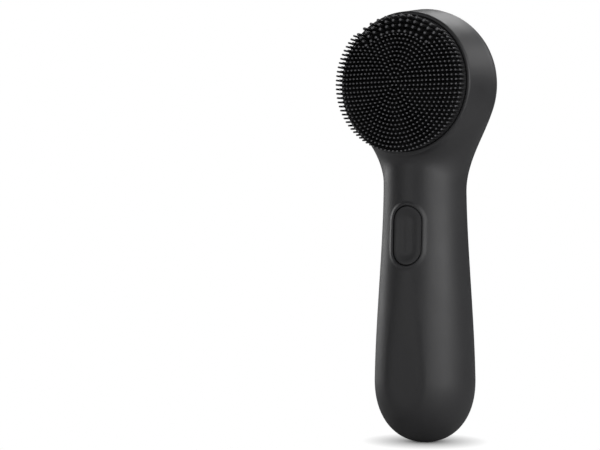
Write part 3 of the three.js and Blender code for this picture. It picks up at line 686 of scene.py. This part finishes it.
def tip_y(radius):
    """Y of the dome on which the bristles end."""
    return TIP_Y + TIP_SAG * (radius / TIP_SPAN) ** 2


def make_pad():
    """The pad's body: a plug in its seat, a rounded edge and a domed face."""
    face = [(radius, tip_y(radius) + BRISTLE) for radius in np.linspace(1.0, 24.8, 14)]
    profile = [(SPIGOT_R, PAD_HIGH[1]), (SPIGOT_R, SEAT_Y), (PAD_R, SEAT_Y)]
    profile += [(PAD_R, -18.3), (PAD_R - 0.1, -18.75), (PAD_R - 0.35, -19.0)]
    loops = [circle_loop(radius, y, 144) for radius, y in profile + face[::-1]]
    return shade(stack_solid("pad_base", loops), None, 50)


def bristle_places():
    """Place and thickness of each bristle: six-sided rings of fine ones, and thick ones at the top."""
    fine = [(0.0, 0.0, 1.0)]
    for ring in range(1, RINGS + 1):
        for step in range(6 * ring):
            turn = step / (6 * ring) * 360
            if ring <= FULL_RINGS or not THICK_FROM < turn < THICK_TO:
                fine.append((ring * RING_PITCH, turn, 1.0))
    turns = [90 + THICK_STEP * (step - (THICK_COUNT - 1) / 2) for step in range(THICK_COUNT)]
    return fine + [(radius, turn, THICK) for radius in THICK_RINGS for turn in turns]


def make_bristles():
    """All bristles as one mesh: tapering shafts with domed ends."""
    round_turn = np.arange(SIDES) * 2 * np.pi / SIDES
    points, faces = [], []
    for radius, degrees, scale in bristle_places():
        turn = math.radians(degrees)
        out = np.array([math.cos(turn), 0.0, math.sin(turn)])
        root = out * radius * SPLAY + [0, tip_y(radius) + BRISTLE + SUNK, HEAD_Z]
        tip = out * radius + [0, tip_y(radius), HEAD_Z]
        along = (tip - root) / np.linalg.norm(tip - root)
        across = np.cross(along, [0.0, 0.0, 1.0])
        across /= np.linalg.norm(across)
        above = np.cross(across, along)
        length = np.linalg.norm(tip - root)
        end = TIP_THICK / 2 * scale
        rings = [(0.0, ROOT_THICK / 2 * scale), (0.5 * length, (ROOT_THICK + TIP_THICK) / 4 * scale)]
        rings += [
            (length - end + end * math.sin(lift), end * math.cos(lift)) for lift in (0, 0.45, 0.9, 1.25)]
        base = len(points)
        for distance, size in rings:
            ring = root + along * distance + size * (
                np.cos(round_turn)[:, None] * across + np.sin(round_turn)[:, None] * above)
            points.extend(ring)
        faces += [tuple(base + i for i in face) for face in ring_strips(len(rings), SIDES)]
        faces.append(tuple(base + i for i in range(SIDES))[::-1])
        faces.append(tuple(base + (len(rings) - 1) * SIDES + i for i in range(SIDES)))
    return shade(outward(make_mesh("bristles", points, faces)), None, 60)


def finish_piece(piece, body, slot, look, *nodes):
    """Gives a piece its material and its body, and hides the CAD nodes it stands for. The slot argument is
    not used.
    """
    piece.data.materials.clear()
    piece.data.materials.append(MATERIALS[look])
    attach(piece, body)
    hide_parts(*nodes)


# ---- materials --------------------------------------------------------------------------------------

def new_material(name, colour, roughness, metallic=0.0):
    material = bpy.data.materials.new(name)
    material.use_nodes = True
    shader = material.node_tree.nodes["Principled BSDF"]
    shader.inputs["Base Color"].default_value = (*colour, 1)
    shader.inputs["Roughness"].default_value = roughness
    shader.inputs["Metallic"].default_value = metallic
    return material, material.node_tree, shader


def noise(tree, scale):
    """Noise laid out in the piece's own coordinates."""
    coordinates = tree.nodes.new("ShaderNodeTexCoord")
    texture = tree.nodes.new("ShaderNodeTexNoise")
    texture.inputs["Scale"].default_value = scale
    texture.inputs["Detail"].default_value = 3.0
    texture.inputs["Roughness"].default_value = 0.55
    tree.links.new(coordinates.outputs["Object"], texture.inputs["Vector"])
    return texture.outputs["Fac"]


def spread(tree, value, low, high):
    """Maps a 0.3 to 0.7 noise onto low to high."""
    node = tree.nodes.new("ShaderNodeMapRange")
    node.inputs["From Min"].default_value = 0.3
    node.inputs["From Max"].default_value = 0.7
    node.inputs["To Min"].default_value = low
    node.inputs["To Max"].default_value = high
    tree.links.new(value, node.inputs["Value"])
    return node.outputs["Result"]


def two_tone(tree, shader, value, dark, light):
    """Base colour that runs from one tone to another with a value."""
    mix = tree.nodes.new("ShaderNodeMix")
    mix.data_type = "RGBA"
    mix.inputs["A"].default_value = (*dark, 1)
    mix.inputs["B"].default_value = (*light, 1)
    tree.links.new(value, mix.inputs["Factor"])
    tree.links.new(mix.outputs["Result"], shader.inputs["Base Color"])


def bump(tree, shader, value, distance):
    node = tree.nodes.new("ShaderNodeBump")
    node.inputs["Distance"].default_value = distance
    node.inputs["Strength"].default_value = 1.0
    tree.links.new(value, node.inputs["Height"])
    tree.links.new(node.outputs["Normal"], shader.inputs["Normal"])


def moulded(name, colour, roughness, grain=2600.0, depth=0.000012, metallic=0.0, contrast=0.12):
    """A moulded or plated surface: a slight drift in colour and roughness over a fine grain."""
    material, tree, shader = new_material(name, colour, roughness, metallic)
    broad = noise(tree, 60.0)
    dark = [channel * (1 - contrast) for channel in colour]
    light = [min(channel * (1 + contrast), 1) for channel in colour]
    two_tone(tree, shader, spread(tree, broad, 0, 1), dark, light)
    tree.links.new(spread(tree, broad, roughness * 0.94, roughness * 1.06), shader.inputs["Roughness"])
    bump(tree, shader, noise(tree, grain), depth)
    return material


def soft_touch(name="soft_touch_silicone", colour=(0.044, 0.044, 0.047), roughness=0.5):
    """Matte charcoal silicone with a dry finish."""
    material = moulded(name, colour, roughness, 3200.0, 0.00001, contrast=0.06)
    shader = material.node_tree.nodes["Principled BSDF"]
    shader.inputs["IOR"].default_value = 2.0
    return material


def node_math(tree, operation, first, second):
    """A maths node on two sockets, or on a socket and a number."""
    node = tree.nodes.new("ShaderNodeMath")
    node.operation = operation
    for socket, value in zip(node.inputs, (first, second)):
        if isinstance(value, float):
            socket.default_value = value
        else:
            tree.links.new(value, socket)
    return node.outputs["Value"]


def bristle_silicone():
    """Black silicone with a painted highlight: it turns paler over the last of each bristle, below the domed
    tips.
    """
    material, tree, shader = new_material("bristle_silicone", SHAFT_TONE, 0.38)
    coordinates = tree.nodes.new("ShaderNodeTexCoord")
    parts = tree.nodes.new("ShaderNodeSeparateXYZ")
    tree.links.new(coordinates.outputs["Object"], parts.inputs["Vector"])
    aside = parts.outputs["X"]
    above = node_math(tree, "SUBTRACT", parts.outputs["Z"], float(HEAD_Z * MM))
    spread_out = node_math(tree, "ADD", node_math(tree, "MULTIPLY", aside, aside),
                           node_math(tree, "MULTIPLY", above, above))
    sag = node_math(tree, "MULTIPLY", spread_out, float(TIP_SAG / TIP_SPAN ** 2 / MM))
    above_sag = node_math(tree, "SUBTRACT", parts.outputs["Y"], sag)
    behind = node_math(tree, "SUBTRACT", above_sag, float(TIP_Y * MM))
    # painted highlight: pale at the tips, fading to the shafts' black further back
    fade = tree.nodes.new("ShaderNodeMapRange")
    fade.inputs["From Min"].default_value = 0.0
    fade.inputs["From Max"].default_value = TIP_HIGHLIGHT_LENGTH * MM
    tree.links.new(behind, fade.inputs["Value"])
    two_tone(tree, shader, fade.outputs["Result"], TIP_HIGHLIGHT_TONE, SHAFT_TONE)
    bump(tree, shader, noise(tree, 2000.0), 0.000002)
    return material


def glossy_pane():
    """Hard-coated black acrylic."""
    material = moulded("window_gloss", (0.002, 0.002, 0.0022), 0.38, 900.0, 0.0000005)
    material.node_tree.nodes["Principled BSDF"].inputs["IOR"].default_value = 1.8
    return material


SLOT_LOOKS = {
    "soft_skin": soft_touch,
    "cover_silicone": lambda: soft_touch("cover_silicone", (0.027, 0.027, 0.029), 0.56),
    "bristle_silicone": bristle_silicone,
    "pad_base": lambda: moulded("pad_base", (0.034, 0.034, 0.036), 0.7, 2000.0, 0.000004),
    "seal_rubber": lambda: moulded("seal_rubber", (0.012, 0.012, 0.012), 0.7),
    "foam": lambda: moulded("foam", (0.09, 0.09, 0.1), 0.95, 1400.0, 0.00015),
    "window_gloss": glossy_pane,
    "gold_print": lambda: moulded("gold_print", (0.72, 0.45, 0.17), 0.45, 1500.0, 0.000002),
    "mark_black": lambda: moulded("mark_black", (0.006, 0.006, 0.006), 0.6, 1500.0, 0.000002),
    "clear_plastic": lambda: moulded("clear_plastic", (0.75, 0.8, 0.82), 0.12),
    "led_plastic": lambda: moulded("led_plastic", (0.9, 0.88, 0.72), 0.25),
    "housing_plastic": lambda: moulded("housing_plastic", (0.02, 0.02, 0.023), 0.5, 1800.0, 0.00002),
    "black_plastic": lambda: moulded("black_plastic", (0.008, 0.008, 0.009), 0.45),
    "stem_plastic": lambda: moulded("stem_plastic", (0.27, 0.02, 0.015), 0.45),
    "white_plastic": lambda: moulded("white_plastic", (0.8, 0.77, 0.68), 0.45),
    "board_laminate": lambda: moulded("board_laminate", (0.014, 0.1, 0.045), 0.35, 1200.0, 0.00001),
    "flex_film": lambda: moulded("flex_film", (0.58, 0.25, 0.025), 0.3),
    "lead_red": lambda: moulded("lead_red", (0.37, 0.014, 0.014), 0.4),
    "lead_black": lambda: moulded("lead_black", (0.008, 0.008, 0.009), 0.4),
    "cell_can": lambda: moulded("cell_can", (0.03, 0.11, 0.34), 0.3),
    "screw_steel": lambda: moulded("screw_steel", (0.48, 0.5, 0.53), 0.32, 1500.0, 0.000006, 1.0),
    "plated_steel": lambda: moulded("plated_steel", (0.6, 0.6, 0.62), 0.22, 1500.0, 0.000004, 1.0),
    "magnet_ferrite": lambda: moulded("magnet_ferrite", (0.07, 0.07, 0.075), 0.6),
    "bush_bronze": lambda: moulded("bush_bronze", (0.39, 0.24, 0.045), 0.35, 1500.0, 0.00001, 1.0),
    "armature_copper": lambda: moulded("armature_copper", (0.46, 0.16, 0.05), 0.3, 1500.0, 0.00001, 1.0),
    "weight_metal": lambda: moulded("weight_metal", (0.27, 0.25, 0.22), 0.4, 1500.0, 0.00002, 1.0),
}
MATERIALS = {slot: make() for slot, make in SLOT_LOOKS.items()}


def dress_cad_nodes():
    """Every CAD node takes its slot's material."""
    for row in frame["record"]["subparts"]:
        node = frame["nodes"][row["node"]]
        node.data.materials.clear()
        node.data.materials.append(MATERIALS[row["material_slot"]])


# ---- stage ------------------------------------------------------------------------------------------

CAMERA_TURN = math.radians(30.2)
CAMERA_AWAY = 0.6273
CAMERA_HEIGHT = 0.084
AXIS_OFFSET = 0.0486                            # the brush stands right of the middle of the frame
FOCAL = 96.8
AIM_HEIGHT = 0.09                               # the lights face this point on the brush's axis
ROOM, FLOOR_BOUNCE = 0.035, 0.55                # light from the room and share that the floor gives back
FLOOR_HALF = 6.0
CONTACT_REACH, CONTACT_POWER = 0.012, 0.65      # size and strength of the shade round the foot


def aimed(thing, place, target):
    thing.location = place
    thing.rotation_euler = (Vector(target) - Vector(place)).to_track_quat("-Z", "Y").to_euler()


def make_camera():
    data = bpy.data.cameras.new("camera")
    data.lens = FOCAL
    data.sensor_width = 36.0
    data.clip_start = 0.01
    camera = bpy.data.objects.new("camera", data)
    bpy.context.collection.objects.link(camera)
    sine, cosine = math.sin(CAMERA_TURN), math.cos(CAMERA_TURN)
    place = Vector((
        CAMERA_AWAY * sine - AXIS_OFFSET * cosine,
        -CAMERA_AWAY * cosine - AXIS_OFFSET * sine,
        CAMERA_HEIGHT))
    aimed(camera, place, place + Vector((-sine, cosine, 0)))
    bpy.context.scene.camera = camera


def make_light(name, azimuth, height, away, width, tall, power):
    """A soft box facing the brush. Azimuth 0 is in front of the bristles, 90 on the +X side."""
    data = bpy.data.lights.new(name, "AREA")
    data.shape = "RECTANGLE"
    data.size, data.size_y = width, tall
    data.energy = power
    light = bpy.data.objects.new(name, data)
    bpy.context.collection.objects.link(light)
    turn = math.radians(azimuth)
    aimed(light, (away * math.sin(turn), -away * math.cos(turn), height), (0, 0, AIM_HEIGHT))


def make_world():
    """A white backdrop to look at, and a dim even room for the light that reaches the brush."""
    world = bpy.data.worlds.new("studio")
    bpy.context.scene.world = world
    world.use_nodes = True
    tree = world.node_tree
    background = tree.nodes["Background"]
    path = tree.nodes.new("ShaderNodeLightPath")
    mix = tree.nodes.new("ShaderNodeMix")
    mix.data_type = "RGBA"
    mix.inputs["A"].default_value = (ROOM, ROOM, ROOM * 1.06, 1)
    mix.inputs["B"].default_value = (1, 1, 1, 1)
    tree.links.new(path.outputs["Is Camera Ray"], mix.inputs["Factor"])
    tree.links.new(mix.outputs["Result"], background.inputs["Color"])
    background.inputs["Strength"].default_value = 1.0


def make_floor():
    """A white floor that darkens softly where the brush stands on it."""
    corners = [(x * FLOOR_HALF, y * FLOOR_HALF, 0) for x, y in ((-1, -1), (1, -1), (1, 1), (-1, 1))]
    mesh = bpy.data.meshes.new("floor")
    mesh.from_pydata(corners, [], [(0, 1, 2, 3)])
    floor = bpy.data.objects.new("floor", mesh)
    bpy.context.collection.objects.link(floor)
    material, tree, shader = new_material("pale_floor", (FLOOR_BOUNCE, FLOOR_BOUNCE, FLOOR_BOUNCE), 0.9)
    shader.inputs["Specular IOR Level"].default_value = 0.0
    contact = tree.nodes.new("ShaderNodeAmbientOcclusion")
    contact.samples = 16
    contact.inputs["Distance"].default_value = CONTACT_REACH
    soften = tree.nodes.new("ShaderNodeMath")
    soften.operation = "POWER"
    soften.inputs[1].default_value = CONTACT_POWER
    white = tree.nodes.new("ShaderNodeEmission")
    path = tree.nodes.new("ShaderNodeLightPath")
    mix = tree.nodes.new("ShaderNodeMixShader")
    output = tree.nodes["Material Output"]
    tree.links.new(contact.outputs["AO"], soften.inputs[0])
    tree.links.new(soften.outputs["Value"], white.inputs["Strength"])
    tree.links.new(path.outputs["Is Camera Ray"], mix.inputs[0])
    tree.links.new(shader.outputs["BSDF"], mix.inputs[1])
    tree.links.new(white.outputs["Emission"], mix.inputs[2])
    tree.links.new(mix.outputs["Shader"], output.inputs["Surface"])
    mesh.materials.append(material)


def make_stage():
    bpy.context.scene.view_settings.view_transform = "Standard"
    make_camera()
    make_world()
    make_floor()
    make_light("front_right", 72, 0.26, 0.9, 0.46, 0.7, 1.75)
    make_light("front_middle", 42, 0.26, 0.9, 0.3, 0.6, 0.75)
    make_light("front_left", -22, 0.26, 0.9, 0.25, 0.6, 0.4)
    make_light("right", 97, 0.26, 0.9, 0.3, 0.7, 0.3)
    make_light("right_high", 100, 0.75, 0.6, 0.35, 0.35, 0.08)
    make_light("back_left", 150, 0.5, 0.85, 0.4, 0.3, 0.7)
    make_light("back_high", 186, 0.75, 0.6, 0.35, 0.35, 1.5)
    make_light("back_low", 207, 0.03, 0.9, 0.1, 0.2, 0.75)
    make_light("back_right", 254, 0.26, 0.9, 0.46, 0.7, 2.0)


# ---- build ------------------------------------------------------------------------------------------

make_stage()
dress_cad_nodes()
finish_piece(make_skin(), "handle", "soft_skin", "soft_skin", "silicone_sleeve")
finish_piece(make_pad(), "handle", "bristle_silicone", "pad_base", "bristle_pad")
finish_piece(make_bristles(), "handle", "bristle_silicone", "bristle_silicone", "bristle_pad")
button_cap, button_flange = make_button()
finish_piece(button_cap, "button", "soft_skin", "soft_skin", "power_button")
finish_piece(button_flange, "button", "soft_skin", "soft_skin", "power_button")
finish_piece(make_window(), "handle", "window_gloss", "window_gloss", "indicator_window")
finish_piece(window_motif(), "handle", "window_gloss", "gold_print", "indicator_window")
finish_piece(make_cover(), "flap", "cover_silicone", "cover_silicone", "port_cover")
finish_piece(make_plug(), "flap", "cover_silicone", "cover_silicone", "port_cover")
finish_piece(charge_mark(), "flap", "cover_silicone", "mark_black", "port_cover")
